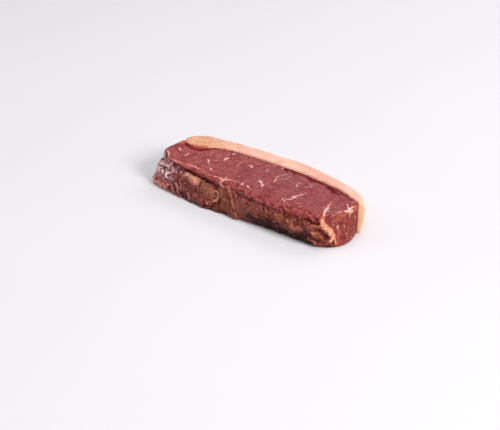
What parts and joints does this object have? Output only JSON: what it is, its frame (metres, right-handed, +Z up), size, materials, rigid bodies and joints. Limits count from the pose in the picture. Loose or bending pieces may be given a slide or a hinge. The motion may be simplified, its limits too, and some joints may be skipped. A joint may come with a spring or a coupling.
{
  "type": "raw picanha steak",
  "caption": "Thick slice of raw picanha beef lying on its cut face, lean marbled meat with a ragged membrane side and a cap of fat along the back.",
  "frame": {"origin": "middle of the bounding box, on the flat cut face that the steak lies on", "axes": "+Z up through the thickness, +X along the steak to its square cut end, +Y to the fat cap"},
  "size_m": [0.1964, 0.074, 0.03],
  "materials": {
    "lean_meat": "moist, soft sheen",
    "fat_cap": "waxy, soft sheen"
  },
  "bodies": {
    "root": {"lean_meat": "lean_meat", "fat_cap": "fat_cap"}
  },
  "joints": []
}
